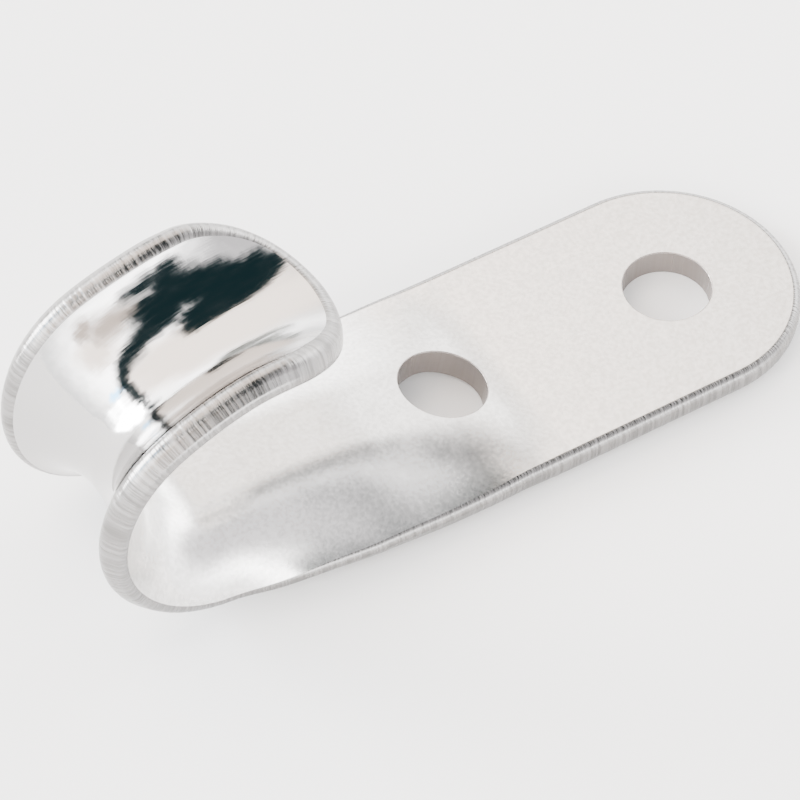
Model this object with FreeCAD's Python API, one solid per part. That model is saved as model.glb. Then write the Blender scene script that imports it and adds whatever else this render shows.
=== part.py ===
import FreeCAD, Part
import math
import os

# A fairlead hook: one piece of stainless sheet, punched, pressed to shape and linished along its edge.
# The frame is in millimetres. Z = 0 is the face that rests on the deck, the origin lies midway between
# the two screw holes, +X runs along the plate to its round end, and the hook rises at -X.
# "Along" is the distance along the strip, from the hole beside the hook towards the tip of the tongue.

SHEET = 2.1                 # thickness of the sheet
PLATE_WIDTH = 19.2
HOLE_DIAMETER = 6.4
HOLE_PITCH = 19.0
EDGE_ROUND = 0.6            # radius along the edge of the upper face
UNDER_ROUND = 1.0           # radius along the edge of the lower face

STRIP_START = -6.0          # where the flat plate hands over to the shaped strip
BEND_START = 21.4

# The line of the strip's upper face. On the crown: (where it begins, degrees it turns, radius). After
# that the bend and tongue, up to the tip: (radius, degrees).
CROWN_TURNS = [(-5.0, 10.5, 14.0), (7.0, -4.5, 40.0)]
BEND_ARCS = [(5.0, 148.0), (18.5, 15.0), (60.0, 8.0)]

# Cross-sections: (along, half width, depth of the rolled edge, half flat width, roundness). Roundness is
# 2 for an edge that rolls down in a circular arc, and less where it breaks down sharply beside the flat.
CROWN_STATIONS = [
    (-4.6, 9.6, 0.0, 4.3, 1.4),
    (-1.8, 9.65, 0.35, 3.6, 1.4),
    (1.8, 9.8, 1.15, 2.3, 1.35),
    (5.3, 9.85, 1.85, 2.0, 1.35),
    (10.1, 9.75, 2.6, 1.9, 1.4),
    (14.0, 9.4, 3.15, 1.9, 1.5),
    (18.0, 8.8, 4.0, 2.2, 1.7),
]
# The same on the bend and tongue, with "along" as a fraction of their length.
BEND_STATIONS = [
    (0.00, 8.15, 4.4, 2.3, 1.85),
    (0.24, 8.1, 4.2, 0.4, 1.8),
    (0.45, 8.2, 4.4, 0.4, 1.7),
    (0.65, 8.1, 4.4, 0.4, 1.7),
    (0.82, 8.1, 3.6, 0.4, 1.7),
    (1.00, 7.8, 1.2, 0.4, 1.7),
]

TIP_LENGTH = 7.0            # how far the rounded tip reaches back along the tongue
SECTION_STEP = 1.5          # spacing of the cross-sections that the surface passes through

HOOK_HOLE_X = -HOLE_PITCH / 2
END_HOLE_X = HOLE_PITCH / 2
QUARTER_ROUND = 0.5523      # length of a cubic handle that draws a quarter circle of radius 1
NODE = "fairlead_hook"


def strip_segments():
    """The line of the strip's upper face as (length, curvature), straight runs and arcs in turn."""
    segments = []
    place = STRIP_START
    for start, degrees, radius in CROWN_TURNS:
        length = radius * math.radians(abs(degrees))
        segments.append((start - place, 0.0))
        segments.append((length, math.radians(degrees) / length))
        place = start + length
    segments.append((BEND_START - place, 0.0))
    for radius, degrees in BEND_ARCS:
        segments.append((radius * math.radians(degrees), 1.0 / radius))
    return segments


def tip_along():
    return STRIP_START + sum(length for length, curvature in strip_segments())


def strip_point(along):
    """The point on the upper face at mid-width, and the angle that the strip has turned through."""
    x, z, angle = HOOK_HOLE_X - STRIP_START, SHEET, 0.0
    left = along - STRIP_START
    for length, curvature in strip_segments():
        step = min(left, length)
        turned = angle + step * curvature
        if curvature:
            x -= (math.sin(turned) - math.sin(angle)) / curvature
            z += (math.cos(angle) - math.cos(turned)) / curvature
        else:
            x -= step * math.cos(angle)
            z += step * math.sin(angle)
        angle = turned
        left -= step
        if left <= 0:
            break
    return x, z, angle


def profile_table():
    """All cross-section stations with their true distance along the strip."""
    bent = tip_along() - BEND_START
    rows = [(STRIP_START,) + CROWN_STATIONS[0][1:]] + CROWN_STATIONS
    for fraction, *shape in BEND_STATIONS:
        rows.append((BEND_START + fraction * bent, *shape))
    return rows


def smooth_value(xs, ys, x):
    """Value at x of a cubic curve through the points that never overshoots them."""
    steps = [(y1 - y0) / (x1 - x0) for x0, x1, y0, y1 in zip(xs, xs[1:], ys, ys[1:])]
    slopes = [steps[0]]
    for before, after in zip(steps, steps[1:]):
        same_way = before * after > 0
        slopes.append(2 * before * after / (before + after) if same_way else 0.0)
    slopes.append(steps[-1])
    index = 0
    while index < len(steps) - 1 and x > xs[index + 1]:
        index += 1
    width = xs[index + 1] - xs[index]
    t = (x - xs[index]) / width
    start = (1 + 2 * t) * (1 - t) ** 2 * ys[index] + t * (1 - t) ** 2 * width * slopes[index]
    end = t * t * (3 - 2 * t) * ys[index + 1] + t * t * (t - 1) * width * slopes[index + 1]
    return start + end


def profile(along):
    """Half width, depth of the rolled edge, half flat width and roundness of the strip."""
    rows = profile_table()
    distances = [row[0] for row in rows]
    return [smooth_value(distances, [row[k] for row in rows], along) for k in (1, 2, 3, 4)]


def rolled_handles(flat, up, end, roll):
    """Control points of the rolled part: level at the flat middle, and turned down by roll at its end."""
    share = 4.0 / 3.0 * math.tan(roll / 4) / math.tan(roll / 2)
    corner = end[0] - (up - end[1]) / math.tan(roll)
    return [
        (flat, up),
        (flat + share * (corner - flat), up),
        (end[0] + share * (corner - end[0]), end[1] + share * (up - end[1])),
        end,
    ]


def corner_handles(radius, start, along_start, end, along_end):
    """Control points of a rounded corner that leaves and arrives along the two directions given."""
    reach = QUARTER_ROUND * radius
    first = (start[0] + reach * along_start[0], start[1] + reach * along_start[1])
    last = (end[0] - reach * along_end[0], end[1] - reach * along_end[1])
    return [start, first, last, end]


def half_section(half_width, depth, flat, roundness):
    """Right half of the cross-section, from the middle of the upper face round to the lower face."""
    roll = roundness * math.atan(depth / (half_width - flat))
    down = (-math.sin(roll), -math.cos(roll))
    outward = (math.cos(roll), -math.sin(roll))
    inward = (-outward[0], -outward[1])
    edge = [(half_width + drop * down[0], -depth + drop * down[1])
            for drop in (0.0, EDGE_ROUND, SHEET - UNDER_ROUND, SHEET)]
    upper_end = (edge[0][0] + EDGE_ROUND * inward[0], edge[0][1] + EDGE_ROUND * inward[1])
    lower_end = (edge[3][0] + UNDER_ROUND * inward[0], edge[3][1] + UNDER_ROUND * inward[1])
    if depth > 0:
        upper = rolled_handles(flat, 0.0, upper_end, roll)
        lower = rolled_handles(flat, -SHEET, lower_end, roll)
    else:
        upper = [(flat, 0.0), upper_end]
        lower = [(flat, -SHEET), lower_end]
    return [
        [(0.0, 0.0), (flat, 0.0)],
        upper,
        corner_handles(EDGE_ROUND, upper_end, outward, edge[1], down),
        [edge[1], edge[2]],
        corner_handles(UNDER_ROUND, edge[2], down, lower_end, inward),
        lower[::-1],
        [(flat, -SHEET), (0.0, -SHEET)],
    ]


def make_edge(points):
    if len(points) == 2:
        return Part.LineSegment(points[0], points[1]).toShape()
    curve = Part.BezierCurve()
    curve.setPoles(points)
    return curve.toShape()


def section_edges(pieces, along):
    """Edges at right angles to the strip's line, from pieces in (across, up) coordinates."""
    x, z, angle = strip_point(along)
    edges = []
    for piece in pieces:
        points = [FreeCAD.Vector(x + up * math.sin(angle), across, z + up * math.cos(angle))
                  for across, up in piece]
        edges.append(make_edge(points))
    return edges


def section_wire(along):
    """Closed cross-section of the strip."""
    right = half_section(*profile(along))
    left = [[(-across, up) for across, up in piece[::-1]] for piece in right[::-1]]
    return Part.Wire(section_edges(right + left, along))


def make_hook():
    """The crown, bend and tongue, as one surface through evenly spaced cross-sections."""
    length = tip_along() - STRIP_START
    count = math.ceil(length / SECTION_STEP)
    wires = [section_wire(STRIP_START + length * index / count) for index in range(count + 1)]
    return Part.makeLoft(wires, True, False)


def tip_waste():
    """What is trimmed from the end of the tongue to leave a half-oval tip."""
    tip_x, tip_z, angle = strip_point(tip_along())
    half_width = profile(tip_along() - TIP_LENGTH)[0]
    base = tip_x - TIP_LENGTH
    height = 4 * SHEET + 6
    bottom = tip_z - height / 2
    block = Part.makeBox(3 * TIP_LENGTH, 4 * half_width, height, FreeCAD.Vector(base, -2 * half_width, bottom))
    oval = Part.Ellipse(FreeCAD.Vector(base, half_width, bottom), FreeCAD.Vector(base + TIP_LENGTH, 0, bottom),
                        FreeCAD.Vector(base, 0, bottom))
    keep = Part.Face(Part.Wire(oval.toShape())).extrude(FreeCAD.Vector(0, 0, height))
    return block.cut(keep)


def make_plate():
    """The flat mounting plate: a straight run of the cross-section and a round end about the end hole."""
    strip_x = HOOK_HOLE_X - STRIP_START
    run = FreeCAD.Vector(END_HOLE_X - strip_x, 0, 0)
    straight = Part.Face(section_wire(STRIP_START)).extrude(run)
    inside = HOLE_DIAMETER / 4
    ring = half_section(*profile(STRIP_START))[1:-1]
    top, bottom = ring[0][0], ring[-1][-1]
    ring += [[bottom, (inside, -SHEET)], [(inside, -SHEET), (inside, 0.0)], [(inside, 0.0), top]]
    half = Part.Face(Part.Wire(section_edges(ring, STRIP_START)))
    half.translate(run)
    round_end = half.revolve(FreeCAD.Vector(END_HOLE_X, 0, 0), FreeCAD.Vector(0, 0, -1), 180)
    return [straight, round_end]


def screw_hole(x):
    return Part.makeCylinder(HOLE_DIAMETER / 2, 4 * SHEET, FreeCAD.Vector(x, 0, -SHEET))


def make_fairlead_hook():
    straight, round_end = make_plate()
    body = straight.multiFuse([round_end, make_hook().cut(tip_waste())])
    for x in (HOOK_HOLE_X, END_HOLE_X):
        body = body.cut(screw_hole(x))
    return body.removeSplitter()


os.makedirs("parts", exist_ok=True)
part = make_fairlead_hook()
part.exportStep("parts/" + NODE + ".step")
print(NODE, "valid", part.isValid(), "solids", len(part.Solids), "volume", round(part.Volume), "mm3")
print("box", part.BoundBox)
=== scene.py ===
import math
import bpy
import numpy as np
from mathutils import Matrix, Vector


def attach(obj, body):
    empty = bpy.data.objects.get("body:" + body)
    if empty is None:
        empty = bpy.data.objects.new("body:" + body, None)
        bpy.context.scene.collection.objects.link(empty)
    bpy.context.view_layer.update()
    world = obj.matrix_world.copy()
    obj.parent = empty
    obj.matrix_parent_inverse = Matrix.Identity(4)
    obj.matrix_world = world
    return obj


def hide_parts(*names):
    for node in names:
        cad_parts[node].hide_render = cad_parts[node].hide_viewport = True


# A fairlead hook pressed from stainless sheet, in the CAD model's frame. Shapes are worked out in
# millimetres and turned into metres at the end. "Along" runs along the strip from the hole beside the
# hook to the tip of the tongue, and is negative on the plate. "Across" is the distance from mid-width.

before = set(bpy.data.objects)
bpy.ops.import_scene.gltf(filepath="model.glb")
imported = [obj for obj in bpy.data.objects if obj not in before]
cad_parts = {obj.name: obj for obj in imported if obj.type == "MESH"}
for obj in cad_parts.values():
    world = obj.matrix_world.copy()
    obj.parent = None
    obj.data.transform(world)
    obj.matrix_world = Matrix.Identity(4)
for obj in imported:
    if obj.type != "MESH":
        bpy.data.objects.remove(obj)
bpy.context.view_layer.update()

MM = 0.001
MICRON = 0.001 * MM

# ---- the strip, with the same values as the CAD part -------------------------------------------------
SHEET = 2.1
PLATE_WIDTH = 19.2
HOLE_RADIUS = 3.2
HOLE_PITCH = 19.0
EDGE_ROUND = 0.6            # radius along the edge of the upper face
UNDER_ROUND = 1.0           # radius along the edge of the lower face
HOLE_ROUND = 0.08           # radius along the rims of the screw holes
STRIP_START = -6.0          # where the flat plate hands over to the shaped strip
BEND_START = 21.4

# The line of the strip's upper face. On the crown: (where it begins, degrees it turns, radius). After
# that the bend and tongue, up to the tip: (radius, degrees).
CROWN_TURNS = [(-5.0, 10.5, 14.0), (7.0, -4.5, 40.0)]
BEND_ARCS = [(5.0, 148.0), (18.5, 15.0), (60.0, 8.0)]

# Cross-sections: (along, half width, depth of the rolled edge, half flat width, roundness). Roundness is
# 2 for an edge that rolls down in a circular arc, and less where it breaks down sharply beside the flat.
CROWN_STATIONS = [
    (-4.6, 9.6, 0.0, 4.3, 1.4),
    (-1.8, 9.65, 0.35, 3.6, 1.4),
    (1.8, 9.8, 1.15, 2.3, 1.35),
    (5.3, 9.85, 1.85, 2.0, 1.35),
    (10.1, 9.75, 2.6, 1.9, 1.4),
    (14.0, 9.4, 3.15, 1.9, 1.5),
    (18.0, 8.8, 4.0, 2.2, 1.7),
]
# The same on the bend and tongue, with "along" as a fraction of their length.
BEND_STATIONS = [
    (0.00, 8.15, 4.4, 2.3, 1.85),
    (0.24, 8.1, 4.2, 0.4, 1.8),
    (0.45, 8.2, 4.4, 0.4, 1.7),
    (0.65, 8.1, 4.4, 0.4, 1.7),
    (0.82, 8.1, 3.6, 0.4, 1.7),
    (1.00, 7.8, 1.2, 0.4, 1.7),
]

TIP_LENGTH = 7.0            # how far the rounded tip reaches back along the tongue

HOOK_HOLE_X = -HOLE_PITCH / 2

# ---- finishes of the faces ---------------------------------------------------------------------------
# The LINISHED faces get a material whose dark colour is painted shade along the rim.
SATIN, POLISHED, LINISHED, PUNCHED = range(4)

# ---- mesh density ------------------------------------------------------------------------------------
PATCH = 5.4                 # half size of the square of mesh around a screw hole
SIDE_CELLS = 8              # across, on each side of that square
MIDDLE_CELLS = 28           # across the square itself
CELL = 0.45                 # length of a cell along the strip
TIP_CELLS = 22
TIP_SIDE_DEGREES = 42       # how much of the tip's half oval each side of its block takes
ROUND_STEPS = 5             # steps round a quarter of an edge
HOLE_RINGS = 7
HOLE_RING_POWER = 1.2       # above 1, the rings crowd towards the hole
END_RINGS = 12
END_RING_POWER = 1.3
END_CELLS = 56              # round the plate's end
END_SIDE_CELLS = 11         # along each straight side of the mesh round the end hole
DRAW_IN_REACH = 2.5         # how far from the edge the lower face's cells are squeezed
LEAST_DEPTH = 0.0001        # keeps the roll above 0, since the rolled curve divides by it
HALVINGS = 30               # steps of the search for a point on the rolled curve
NORMAL_STEP = 0.01          # distance over which the slope of the surface is taken
KEY_DIGITS = 4              # layout points that agree to this many decimals are one point


def strip_segments():
    """The line of the strip's upper face as (length, curvature), straight runs and arcs in turn."""
    segments = []
    place = STRIP_START
    for start, degrees, radius in CROWN_TURNS:
        length = radius * math.radians(abs(degrees))
        segments.append((start - place, 0.0))
        segments.append((length, math.radians(degrees) / length))
        place = start + length
    segments.append((BEND_START - place, 0.0))
    for radius, degrees in BEND_ARCS:
        segments.append((radius * math.radians(degrees), 1.0 / radius))
    return segments


TIP_ALONG = STRIP_START + sum(length for length, curvature in strip_segments())
TIP_BASE = TIP_ALONG - TIP_LENGTH


def strip_line(along):
    """Where the strip's upper face lies at mid-width (x, z) and the angle it has turned through."""
    x = np.full_like(along, HOOK_HOLE_X) - np.minimum(along, STRIP_START)
    z = np.full_like(along, SHEET)
    angle = np.zeros_like(along)
    left = np.maximum(along - STRIP_START, 0.0)
    for length, curvature in strip_segments():
        step = np.minimum(left, length)
        turned = angle + step * curvature
        if curvature:
            x = x - (np.sin(turned) - np.sin(angle)) / curvature
            z = z + (np.cos(angle) - np.cos(turned)) / curvature
        else:
            x = x - step * np.cos(angle)
            z = z + step * np.sin(angle)
        angle = turned
        left = left - step
    x = x - left * np.cos(angle)
    z = z + left * np.sin(angle)
    return x, z, angle


def profile_table():
    """All cross-section stations with their true distance along the strip."""
    bent = TIP_ALONG - BEND_START
    rows = [(STRIP_START,) + CROWN_STATIONS[0][1:]] + CROWN_STATIONS
    for fraction, *shape in BEND_STATIONS:
        rows.append((BEND_START + fraction * bent, *shape))
    return np.array(rows)


TABLE = profile_table()


def smooth_curve(xs, ys, x):
    """Cubic curve through the points that never overshoots them."""
    steps = np.diff(ys) / np.diff(xs)
    slopes = np.zeros_like(ys)
    slopes[0], slopes[-1] = steps[0], steps[-1]
    before, after = steps[:-1], steps[1:]
    same_way = before * after > 0
    total = np.where(same_way, before + after, 1.0)
    slopes[1:-1] = np.where(same_way, 2 * before * after / total, 0.0)
    x = np.clip(x, xs[0], xs[-1])
    k = np.clip(np.searchsorted(xs, x) - 1, 0, len(steps) - 1)
    width = xs[k + 1] - xs[k]
    t = (x - xs[k]) / width
    start = (1 + 2 * t) * (1 - t) ** 2 * ys[k] + t * (1 - t) ** 2 * width * slopes[k]
    end = t * t * (3 - 2 * t) * ys[k + 1] + t * t * (t - 1) * width * slopes[k + 1]
    return start + end


def profile(along):
    """Half width, depth of the rolled edge, half flat width and roundness of the strip."""
    return [smooth_curve(TABLE[:, 0], TABLE[:, k], along) for k in (1, 2, 3, 4)]


def rolled_edge(along):
    """Half flat width, where the rolled part ends (across, drop), and the angle it has turned down."""
    half_width, depth, flat, roundness = profile(along)
    depth = np.maximum(depth, LEAST_DEPTH)
    roll = roundness * np.arctan(depth / (half_width - flat))
    return flat, half_width - EDGE_ROUND * np.cos(roll), depth - EDGE_ROUND * np.sin(roll), roll


def bezier(a, b, c, d, t):
    """Cubic curve from a to d, with handles b and c."""
    return (1 - t) ** 3 * a + 3 * t * (1 - t) ** 2 * b + 3 * t * t * (1 - t) * c + t ** 3 * d


def section_drop(along, across):
    """How far the upper face lies below its middle line."""
    flat, end, end_drop, roll = rolled_edge(along)
    share = 4 / 3 * np.tan(roll / 4) / np.tan(roll / 2)
    corner = end - end_drop / np.tan(roll)
    first, second = flat + share * (corner - flat), end + share * (corner - end)
    reach = np.clip(np.abs(across), flat, end)
    low, high = np.zeros_like(reach), np.ones_like(reach)
    for _ in range(HALVINGS):
        t = (low + high) / 2
        before = bezier(flat, first, second, end, t) < reach
        low = np.where(before, t, low)
        high = np.where(before, high, t)
    drop = bezier(0.0, 0.0, end_drop * (1 - share), end_drop, (low + high) / 2)
    return drop + np.maximum(np.abs(across) - end, 0.0) * np.tan(roll)


def surface(along, across):
    """Points of the strip's upper face."""
    drop = section_drop(along, across)
    x, z, angle = strip_line(along)
    return np.stack([x - drop * np.sin(angle), across, z - drop * np.cos(angle)], -1)


def surface_normal(along, across):
    """Unit normals of the strip's upper face, pointing away from the sheet."""
    step = NORMAL_STEP
    d_along = surface(along + step, across) - surface(along - step, across)
    d_across = surface(along, across + step) - surface(along, across - step)
    normal = np.cross(d_across, d_along)
    return normal / np.linalg.norm(normal, axis=-1, keepdims=True)


def inner_half_width(along):
    """How far across the strip's upper face goes before its edge begins to round over."""
    return rolled_edge(along)[1]


# ---- the flat layout of the sheet, as cells in (along, across) ---------------------------------------
def across_lines():
    """Fractions of the half width where the lines along the strip run."""
    edge = PLATE_WIDTH / 2 - EDGE_ROUND
    side = np.linspace(PATCH, edge, SIDE_CELLS + 1)[1:] / edge
    middle = np.linspace(-PATCH, PATCH, MIDDLE_CELLS + 1) / edge
    return np.concatenate([-side[::-1], middle, side])


LINES = across_lines()


def even_stations(start, end, cell):
    """Distances from start to end in equal steps of about one cell."""
    return np.linspace(start, end, max(2, math.ceil((end - start) / cell)) + 1)


def strip_block(stations, lines):
    """Grid of layout points, with the lines spread over the width at each station."""
    widths = inner_half_width(stations)
    along = np.repeat(stations[:, None], len(lines), 1)
    return np.stack([along, widths[:, None] * lines[None, :]], -1)


def ring_block(border, centre_along, rings, power):
    """Rings of cells between a closed border and the rim of a screw hole."""
    offset = border - np.array([centre_along, 0.0])
    angle = np.arctan2(offset[:, 1], offset[:, 0])
    reach = HOLE_RADIUS + HOLE_ROUND
    rim = np.stack([centre_along + reach * np.cos(angle), reach * np.sin(angle)], -1)
    steps = np.linspace(0, 1, rings + 1) ** power
    grid = np.array([rim + (border - rim) * t for t in steps])
    return np.concatenate([grid, grid[:, :1]], 1)


def square_border(block):
    """The points round the outside of a block, once."""
    return np.concatenate([block[0, :-1], block[:-1, -1], block[-1, :0:-1], block[:0:-1, 0]])


def tip_block(lines, last_row):
    """Cells of the rounded tip, between the last row of the strip and a half oval."""
    half = last_row[-1, 1]
    length = TIP_LENGTH - EDGE_ROUND
    corner = math.radians(TIP_SIDE_DEGREES)

    def oval(angle):
        return np.stack([TIP_BASE + length * np.sin(angle), half * np.cos(angle)], -1)

    b = np.linspace(0, 1, TIP_CELLS + 1)[:, None, None]
    a = ((lines + 1) / 2)[None, :, None]
    bottom = last_row[None, :, :]
    top = oval(math.pi - corner - (math.pi - 2 * corner) * (lines + 1) / 2)[None, :, :]
    left = oval(math.pi - corner * b[:, 0, 0])[:, None, :]
    right = oval(corner * b[:, 0, 0])[:, None, :]
    corners = ((1 - a) * (1 - b) * bottom[:, :1] + a * (1 - b) * bottom[:, -1:]
               + (1 - a) * b * top[:, :1] + a * b * top[:, -1:])
    return (1 - b) * bottom + b * top + (1 - a) * left + a * right - corners


def end_border(plate, end_line):
    """Closed border of the mesh round the end hole: two sides, a half circle and the plate's last row."""
    edge = PLATE_WIDTH / 2 - EDGE_ROUND
    angles = np.linspace(-math.pi / 2, math.pi / 2, END_CELLS + 1)
    semicircle = np.stack([-HOLE_PITCH - edge * np.cos(angles), edge * np.sin(angles)], -1)
    side = np.linspace(end_line, -HOLE_PITCH, END_SIDE_CELLS + 1)[1:-1]
    low = np.stack([side, np.full_like(side, -edge)], -1)
    high = np.stack([side[::-1], np.full_like(side, edge)], -1)
    return np.concatenate([low, semicircle, high, plate[0, ::-1]])


def layout_blocks():
    """Blocks of layout points that cover the whole sheet and share their borders."""
    middle = slice(SIDE_CELLS, SIDE_CELLS + MIDDLE_CELLS + 1)
    near_side = slice(0, SIDE_CELLS + 1)
    far_side = slice(SIDE_CELLS + MIDDLE_CELLS, None)
    end_line = -HOLE_PITCH + PATCH
    plate = strip_block(even_stations(end_line, -PATCH, CELL), LINES)
    beside_hole = strip_block(np.linspace(-PATCH, PATCH, MIDDLE_CELLS + 1), LINES)
    strip = strip_block(even_stations(PATCH, TIP_BASE, CELL), LINES)
    hook_hole = ring_block(square_border(beside_hole[:, middle]), 0.0, HOLE_RINGS, HOLE_RING_POWER)
    end_hole = ring_block(end_border(plate, end_line), -HOLE_PITCH, END_RINGS, END_RING_POWER)
    return [plate, beside_hole[:, near_side], beside_hole[:, far_side], hook_hole, end_hole, strip,
            tip_block(LINES, strip[-1])]


def join_blocks(blocks):
    """One list of layout points and one list of cells; all cells turn the same way."""
    keys = {}
    points = []
    cells = []
    for block in blocks:
        index = np.zeros(block.shape[:2], int)
        for i in range(block.shape[0]):
            for j in range(block.shape[1]):
                key = (round(block[i, j, 0], KEY_DIGITS), round(block[i, j, 1], KEY_DIGITS))
                if key not in keys:
                    keys[key] = len(points)
                    points.append(block[i, j])
                index[i, j] = keys[key]
        for i in range(block.shape[0] - 1):
            for j in range(block.shape[1] - 1):
                cells.append([index[i, j], index[i, j + 1], index[i + 1, j + 1], index[i + 1, j]])
    points = np.array(points)
    turned = []
    for cell in cells:
        p = points[cell]
        area = sum(p[k - 1][0] * p[k][1] - p[k][0] * p[k - 1][1] for k in range(4))
        turned.append(cell if area < 0 else cell[::-1])
    return points, turned


def border_loops(cells):
    """Closed loops of points along the free edges of the cells."""
    after = {}
    used = set()
    for cell in cells:
        for k in range(4):
            used.add((cell[k - 1], cell[k]))
    for a, b in used:
        if (b, a) not in used:
            after[a] = b
    loops = []
    while after:
        first = next(iter(after))
        loop = [first]
        step = after.pop(first)
        while step != first:
            loop.append(step)
            step = after.pop(step)
        loops.append(loop)
    return loops


def outward_directions(ring, up):
    """For a closed ring of points, the directions that leave the sheet at right angles to it."""
    tangent = np.roll(ring, -1, 0) - np.roll(ring, 1, 0)
    outward = np.cross(tangent, up)
    return outward / np.linalg.norm(outward, axis=1, keepdims=True)


def draw_in(points, border, outward):
    """Moves points beside the border inwards, to make room for the larger round of the lower edge."""
    gaps = np.linalg.norm(points[:, None, :] - points[None, border, :], axis=2)
    share = np.clip(1 - gaps.min(1) / DRAW_IN_REACH, 0.0, 1.0)
    return points - (UNDER_ROUND - EDGE_ROUND) * share[:, None] * outward[gaps.argmin(1)]


def edge_rows(round_over, round_under):
    """How far out, how far down and how far turned each line round an edge is."""
    turns = [math.pi / 2 * k / ROUND_STEPS for k in range(1, ROUND_STEPS + 1)]
    rows = [(round_over * math.sin(t), round_over * (1 - math.cos(t)), t) for t in turns]
    for t in turns[::-1]:
        reach = round_over - round_under + round_under * math.sin(t)
        rows.append((reach, SHEET - round_under * (1 - math.cos(t)), math.pi - t))
    return rows


def round_edge(loop, upper, normal, opposite, first_new, radii):
    """Points and normals of one rounded edge, and its rows of point numbers from face to face."""
    ring, up = upper[loop], normal[loop]
    outward = outward_directions(ring, up)
    points = []
    normals = []
    rows = [list(loop)]
    for reach, drop, turn in edge_rows(*radii):
        start = first_new + len(points)
        points += list(ring + outward * reach - up * drop)
        normals += list(up * math.cos(turn) + outward * math.sin(turn))
        rows.append(list(range(start, start + len(loop))))
    rows.append(opposite)
    return points, normals, rows


def edge_faces(ring, rows):
    """Faces between the rows of an edge, and their corners as (distance round the edge, depth)."""
    steps = np.linalg.norm(ring - np.roll(ring, 1, 0), axis=1)
    ends = np.cumsum(steps)
    faces = []
    corners = []
    for row, (first, second) in enumerate(zip(rows, rows[1:])):
        low, high = SHEET * row / len(rows), SHEET * (row + 1) / len(rows)
        for k in range(len(ring)):
            faces.append([first[k - 1], second[k - 1], second[k], first[k]])
            start, end = ends[k] - steps[k], ends[k]
            corners.append(np.array([[start, low], [start, high], [end, high], [end, low]]))
    return faces, corners


def build_sheet():
    """The whole sheet: upper face, lower face and the rounded edges that join them."""
    layout, cells = join_blocks(layout_blocks())
    upper = surface(layout[:, 0], layout[:, 1])
    normal = surface_normal(layout[:, 0], layout[:, 1])
    loops = sorted(border_loops(cells), key=len)
    border = loops[-1]
    lower = draw_in(upper - SHEET * normal, border, outward_directions(upper[border], normal[border]))
    points = list(upper) + list(lower)
    normals = list(normal) + list(-normal)
    count = len(layout)
    faces = list(cells)
    faces += [[count + k for k in cell[::-1]] for cell in cells]
    kinds = [SATIN] * len(cells) + [POLISHED] * len(cells)
    corners = [layout[cell] for cell in cells] + [layout[cell[::-1]] for cell in cells]
    for loop in loops:
        kind, radii = PUNCHED, (HOLE_ROUND, HOLE_ROUND)
        if loop is border:
            kind, radii = LINISHED, (EDGE_ROUND, UNDER_ROUND)
        opposite = [count + k for k in loop]
        edge_points, edge_normals, rows = round_edge(loop, upper, normal, opposite, len(points), radii)
        new_faces, new_corners = edge_faces(upper[loop], rows)
        points += edge_points
        normals += edge_normals
        faces += new_faces
        kinds += [kind] * len(new_faces)
        corners += new_corners
    return np.array(points), faces, kinds, np.array(normals), np.concatenate(corners)


def make_piece(name, points, faces, kinds, normals, corners, materials):
    """Object from the mesh lists in millimetres, with one material for each kind of face."""
    mesh = bpy.data.meshes.new(name)
    mesh.from_pydata([tuple(p * MM) for p in points], [], [tuple(int(k) for k in face) for face in faces])
    for material in materials:
        mesh.materials.append(material)
    mesh.polygons.foreach_set("material_index", kinds)
    mesh.polygons.foreach_set("use_smooth", [True] * len(faces))
    layout = mesh.uv_layers.new(name="layout_mm")
    layout.data.foreach_set("uv", corners.ravel())
    mesh.update()
    mesh.normals_split_custom_set_from_vertices([tuple(n) for n in normals])
    obj = bpy.data.objects.new(name, mesh)
    bpy.context.scene.collection.objects.link(obj)
    return obj


# ---- materials ---------------------------------------------------------------------------------------
def add_noise(tree, source, output, scale, detail, stretch=(1.0, 1.0, 1.0)):
    """Noise over texture coordinates that are scaled differently in each direction."""
    coordinates = tree.nodes.new("ShaderNodeTexCoord")
    mapping = tree.nodes.new("ShaderNodeMapping")
    mapping.inputs["Scale"].default_value = stretch
    tree.links.new(coordinates.outputs[source], mapping.inputs["Vector"])
    noise = tree.nodes.new("ShaderNodeTexNoise")
    noise.inputs["Scale"].default_value = scale
    noise.inputs["Detail"].default_value = detail
    tree.links.new(mapping.outputs["Vector"], noise.inputs["Vector"])
    return noise.outputs[output]


def map_range(tree, value, low, high, to_low, to_high, smooth=False):
    """The value, stretched so that low to high becomes to_low to to_high."""
    node = tree.nodes.new("ShaderNodeMapRange")
    if smooth:
        node.interpolation_type = "SMOOTHSTEP"
    tree.links.new(value, node.inputs["Value"])
    for name, number in (("From Min", low), ("From Max", high), ("To Min", to_low), ("To Max", to_high)):
        node.inputs[name].default_value = number
    return node.outputs["Result"]


def add_bump(tree, height, depth, base=None):
    """Bump of the given depth in metres, on top of an earlier bump if there is one."""
    bump = tree.nodes.new("ShaderNodeBump")
    bump.inputs["Strength"].default_value = 1.0
    bump.inputs["Distance"].default_value = depth
    tree.links.new(height, bump.inputs["Height"])
    if base is not None:
        tree.links.new(base, bump.inputs["Normal"])
    return bump.outputs["Normal"]


def steel(name, colour, roughness):
    """Bare metal, and its node tree and shader for the finish to be added to."""
    material = bpy.data.materials.new(name)
    material.use_nodes = True
    tree = material.node_tree
    shader = tree.nodes["Principled BSDF"]
    shader.inputs["Base Color"].default_value = (*colour, 1.0)
    shader.inputs["Metallic"].default_value = 1.0
    shader.inputs["Roughness"].default_value = roughness
    return material, tree, shader


def tint_by(tree, shader, value, low, high, dark, light):
    """Base colour that runs from dark to light as a noise value goes from low to high."""
    shade = tree.nodes.new("ShaderNodeCombineColor")
    for channel, at_low, at_high in zip(("Red", "Green", "Blue"), dark, light):
        tree.links.new(map_range(tree, value, low, high, at_low, at_high), shade.inputs[channel])
    tree.links.new(shade.outputs["Color"], shader.inputs["Base Color"])


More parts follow.
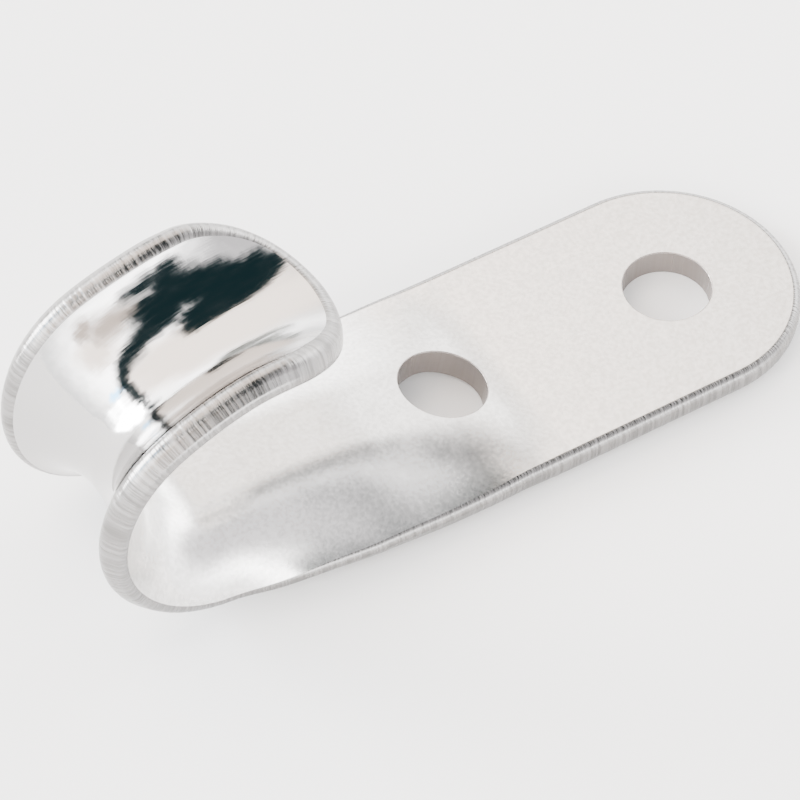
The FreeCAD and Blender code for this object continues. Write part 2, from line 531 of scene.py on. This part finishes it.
def make_satin():
    """Tumbled, slightly grainy pressing."""
    material, tree, shader = steel("satin_steel", (0.74, 0.725, 0.71), 0.24)
    grain = add_noise(tree, "Object", "Fac", scale=3200.0, detail=3.0)
    patches = add_noise(tree, "Object", "Fac", scale=260.0, detail=2.0)
    tint_by(tree, shader, grain, low=0.35, high=0.65,
            dark=(0.66, 0.645, 0.63), light=(0.82, 0.805, 0.79))
    roughness = map_range(tree, patches, low=0.3, high=0.7, to_low=0.19, to_high=0.27)
    tree.links.new(roughness, shader.inputs["Roughness"])
    normal = add_bump(tree, patches, depth=10 * MICRON)
    tree.links.new(add_bump(tree, grain, depth=4 * MICRON, base=normal), shader.inputs["Normal"])
    return material


def make_polished():
    """Buffed to a mirror, over a surface that is still a little wavy from the press."""
    material, tree, shader = steel("polished_steel", (0.50, 0.49, 0.485), 0.07)
    waves = add_noise(tree, "Object", "Fac", scale=700.0, detail=4.0)
    scuffs = add_noise(tree, "UV", "Fac", scale=1.0, detail=3.0, stretch=(0.5, 6.0, 1.0))
    roughness = map_range(tree, scuffs, low=0.4, high=0.75, to_low=0.05, to_high=0.13)
    tree.links.new(roughness, shader.inputs["Roughness"])
    normal = add_bump(tree, waves, depth=9 * MICRON)
    tree.links.new(add_bump(tree, scuffs, depth=3.5 * MICRON, base=normal), shader.inputs["Normal"])
    return material


def make_linished_painted_shade():
    """Belt-sanded edge with scratches straight across it; its dark colour is painted shade for the darker
    reflections and contact shade along the rim.
    """
    material, tree, shader = steel("linished_edge_painted_shade", (0.86, 0.85, 0.84), 0.22)
    hatch = add_noise(tree, "UV", "Fac", scale=1.0, detail=4.0, stretch=(4.0, 0.35, 1.0))
    roughness = map_range(tree, hatch, low=0.3, high=0.7, to_low=0.16, to_high=0.36)
    tree.links.new(roughness, shader.inputs["Roughness"])
    tree.links.new(add_bump(tree, hatch, depth=60 * MICRON), shader.inputs["Normal"])
    # Painted shade: the rim's colour is kept very dark, streaked lighter and darker along the scratches.
    tint_by(tree, shader, hatch, low=0.3, high=0.7,
            dark=(0.17, 0.165, 0.16), light=(0.33, 0.32, 0.315))
    return material


def make_punched():
    """Wall of a punched hole, streaked in the direction of the punch."""
    material, tree, shader = steel("punched_wall", (0.30, 0.27, 0.255), 0.45)
    streaks = add_noise(tree, "UV", "Fac", scale=1.0, detail=3.0, stretch=(3.0, 0.5, 1.0))
    roughness = map_range(tree, streaks, low=0.3, high=0.7, to_low=0.25, to_high=0.5)
    tree.links.new(roughness, shader.inputs["Roughness"])
    tree.links.new(add_bump(tree, streaks, depth=30 * MICRON), shader.inputs["Normal"])
    return material


points, faces, kinds, normals, corners = build_sheet()
hook = make_piece("fairlead_hook_sheet", points, faces, kinds, normals, corners,
                  [make_satin(), make_polished(), make_linished_painted_shade(), make_punched()])
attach(hook, "root")
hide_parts("fairlead_hook")


# ---- floor, light and camera -------------------------------------------------------------------------
FLOOR_HALF_SIZE = 2.0       # metres
FLOOR_GAP = 0.02            # keeps the floor just clear of the deck face


def make_floor():
    """Plain pale floor."""
    mesh = bpy.data.meshes.new("floor")
    size = FLOOR_HALF_SIZE
    corners = [(-size, -size, 0), (size, -size, 0), (size, size, 0), (-size, size, 0)]
    mesh.from_pydata(corners, [], [(0, 1, 2, 3)])
    floor = bpy.data.objects.new("floor", mesh)
    bpy.context.scene.collection.objects.link(floor)
    floor.location.z = -FLOOR_GAP * MM
    material = bpy.data.materials.new("floor_white")
    material.use_nodes = True
    shader = material.node_tree.nodes["Principled BSDF"]
    shader.inputs["Base Color"].default_value = (0.9, 0.9, 0.9, 1.0)
    shader.inputs["Roughness"].default_value = 0.9
    floor.data.materials.append(material)
    return floor


make_floor()

# Angles in degrees, distances in millimetres.
CAMERA_AZIMUTH = 33.8
CAMERA_ELEVATION = 50.3
CAMERA_ROLL = 2.5
CAMERA_DISTANCE = 308.0
CAMERA_TARGET = (-11.5, 2.2, 0.0)
CAMERA_LENS = 197.4
SENSOR_WIDTH = 36.0
CLIP_START = 0.01           # metres
CLIP_END = 10.0


def make_camera():
    """Long-lens camera that looks at its target from above the part's side."""
    data = bpy.data.cameras.new("camera")
    data.lens = CAMERA_LENS
    data.sensor_width = SENSOR_WIDTH
    data.clip_start = CLIP_START
    data.clip_end = CLIP_END
    camera = bpy.data.objects.new("camera", data)
    bpy.context.scene.collection.objects.link(camera)
    azimuth = math.radians(CAMERA_AZIMUTH)
    elevation = math.radians(CAMERA_ELEVATION)
    forward = Vector((math.sin(azimuth) * math.cos(elevation), math.cos(azimuth) * math.cos(elevation),
                      -math.sin(elevation)))
    right = forward.cross(Vector((0, 0, 1))).normalized()
    up = right.cross(forward)
    roll = math.radians(CAMERA_ROLL)
    tilted_right = right * math.cos(roll) + up * math.sin(roll)
    tilted_up = up * math.cos(roll) - right * math.sin(roll)
    place = Vector(CAMERA_TARGET) * MM - forward * CAMERA_DISTANCE * MM
    camera.matrix_world = Matrix((
        (tilted_right.x, tilted_up.x, -forward.x, place.x),
        (tilted_right.y, tilted_up.y, -forward.y, place.y),
        (tilted_right.z, tilted_up.z, -forward.z, place.z),
        (0, 0, 0, 1)))
    bpy.context.scene.camera = camera


make_camera()


# The studio round the part. Patches are (azimuth from +Y towards +X, elevation, reach, softness) in
# degrees; each is a soft round area of the walls or ceiling.
BASE_LIGHT = 16.0
HORIZON_SHARE = 0.25        # light at the horizon, as a share of the light high up
FULL_LIGHT_HEIGHT = 0.65    # sine of the elevation above which the light is full
RAGGED_SCALE = 9.0
RAGGED_DETAIL = 4.0
RAGGED_REACH = 0.28         # noise shifts a direction by up to half of this on each axis
DARK_COLOUR = (0.0012, 0.0034, 0.0040)
DARK_PATCHES = [
    (75, 84, 15, 3),
    (15, 79, 10, 3),
    (64, 74, 12, 4),
    (100, 73, 11, 4),
    (140, 74, 10, 3),
    (158, 71, 11, 4),
    (170, 62, 11, 4),
    (176, 50, 10, 4),
    (174, 41, 9, 4),
    (186, 38, 7, 4),
    (192, 55, 10, 4),
    (200, 66, 12, 4),
    (216, 71, 12, 4),
    (233, 70, 10, 4),
    (249, 66, 9, 4),
    (262, 63, 9, 4),
    (274, 57, 8, 4),
    (285, 51, 8, 4),
    (295, 45, 7.5, 4),
    (304, 41, 7, 3),
    (313, 39, 6, 3),
    (321, 37, 5, 3),
    (328, 32, 4.5, 3),
    (335, 26, 4, 3),
    (341, 19, 3.5, 3),
    (346, 11, 3, 3),
]
OLIVE_COLOUR = (0.05, 0.052, 0.048)
OLIVE_PATCHES = [(9, 22, 3.5, 4), (10, 12, 4.5, 4), (11, 2, 5, 4)]
BROWN_COLOUR = (0.15, 0.125, 0.108)
BROWN_PATCHES = [(208, 44, 9, 9), (212, 30, 4, 9)]
CREAM_COLOUR = (0.40, 0.35, 0.31)
CREAM_PATCHES = [(236, 40, 14, 10), (330, 62, 22, 12), (0, 52, 20, 12)]
GREY_COLOUR = (0.185, 0.178, 0.170)
GREY_PATCHES = [(34, 50, 24, 16)]
SIDE_COLOUR = (0.125, 0.122, 0.125)
SIDE_PATCHES = [(122, 44, 28, 14)]
SHADE_COLOUR = (0.010, 0.010, 0.011)
SHADE_PATCHES = [(64, 54, 6, 6), (74, 50, 4, 5)]
BRIGHT_COLOUR = (3.1, 3.15, 3.2)
BRIGHT_PATCHES = [(322, 14, 13, 8)]
BLUE_COLOUR = (0.25, 0.62, 1.0)
BLUE_PATCHES = [(298, 29, 5, 5)]
STUDIO = [
    (GREY_PATCHES, GREY_COLOUR),
    (SIDE_PATCHES, SIDE_COLOUR),
    (SHADE_PATCHES, SHADE_COLOUR),
    (CREAM_PATCHES, CREAM_COLOUR),
    (BROWN_PATCHES, BROWN_COLOUR),
    (BRIGHT_PATCHES, BRIGHT_COLOUR),
    (BLUE_PATCHES, BLUE_COLOUR),
    (OLIVE_PATCHES, OLIVE_COLOUR),
    (DARK_PATCHES, DARK_COLOUR),
]


# Sockets of the Mix node when it mixes colours.
MIX_FACTOR, MIX_UNDER, MIX_OVER = 0, 6, 7
MIX_RESULT = 2


def direction(azimuth, elevation):
    """Unit vector that points at a patch."""
    a, e = math.radians(azimuth), math.radians(elevation)
    return (math.sin(a) * math.cos(e), math.cos(a) * math.cos(e), math.sin(e))


def ragged_direction(tree):
    """The direction looked in, shifted a little by noise so that patches have ragged edges."""
    coordinates = tree.nodes.new("ShaderNodeTexCoord")
    wobble = add_noise(tree, "Generated", "Color", RAGGED_SCALE, RAGGED_DETAIL)
    centred = tree.nodes.new("ShaderNodeVectorMath")
    centred.operation = "SUBTRACT"
    centred.inputs[1].default_value = (0.5, 0.5, 0.5)
    tree.links.new(wobble, centred.inputs[0])
    scaled = tree.nodes.new("ShaderNodeVectorMath")
    scaled.operation = "SCALE"
    scaled.inputs["Scale"].default_value = RAGGED_REACH
    tree.links.new(centred.outputs["Vector"], scaled.inputs[0])
    shifted = tree.nodes.new("ShaderNodeVectorMath")
    shifted.operation = "ADD"
    tree.links.new(coordinates.outputs["Generated"], shifted.inputs[0])
    tree.links.new(scaled.outputs["Vector"], shifted.inputs[1])
    unit = tree.nodes.new("ShaderNodeVectorMath")
    unit.operation = "NORMALIZE"
    tree.links.new(shifted.outputs["Vector"], unit.inputs[0])
    return unit.outputs["Vector"]


def patch_mask(tree, look, patches):
    """1 inside any of the patches and 0 outside them."""
    mask = None
    for azimuth, elevation, reach, softness in patches:
        dot = tree.nodes.new("ShaderNodeVectorMath")
        dot.operation = "DOT_PRODUCT"
        dot.inputs[1].default_value = direction(azimuth, elevation)
        tree.links.new(look, dot.inputs[0])
        outside = math.cos(math.radians(reach + softness))
        inside = math.cos(math.radians(max(reach - softness, 0)))
        value = map_range(tree, dot.outputs["Value"], outside, inside, 0.0, 1.0, smooth=True)
        if mask is not None:
            larger = tree.nodes.new("ShaderNodeMath")
            larger.operation = "MAXIMUM"
            tree.links.new(mask, larger.inputs[0])
            tree.links.new(value, larger.inputs[1])
            value = larger.outputs["Value"]
        mask = value
    return mask


def walls(tree, look):
    """Light that grows from the horizon upwards."""
    split = tree.nodes.new("ShaderNodeSeparateXYZ")
    tree.links.new(look, split.inputs["Vector"])
    height = map_range(tree, split.outputs["Z"], 0.0, FULL_LIGHT_HEIGHT, HORIZON_SHARE, 1.0,
                       smooth=True)
    tint = tree.nodes.new("ShaderNodeCombineColor")
    for channel in ("Red", "Green", "Blue"):
        tree.links.new(height, tint.inputs[channel])
    return tint.outputs["Color"]


def paint(tree, under, mask, colour):
    """The colour below, changed to another where the mask is 1."""
    mix = tree.nodes.new("ShaderNodeMix")
    mix.data_type = "RGBA"
    tree.links.new(mask, mix.inputs[MIX_FACTOR])
    tree.links.new(under, mix.inputs[MIX_UNDER])
    mix.inputs[MIX_OVER].default_value = (*colour, 1.0)
    return mix.outputs[MIX_RESULT]


def make_world():
    """Pale studio with soft patches, seen in the metal as reflections."""
    world = bpy.data.worlds.new("studio")
    bpy.context.scene.world = world
    world.use_nodes = True
    tree = world.node_tree
    look = ragged_direction(tree)
    colour = walls(tree, look)
    for patches, tint in STUDIO:
        colour = paint(tree, colour, patch_mask(tree, look, patches), tint)
    background = tree.nodes["Background"]
    tree.links.new(colour, background.inputs["Color"])
    background.inputs["Strength"].default_value = BASE_LIGHT


make_world()
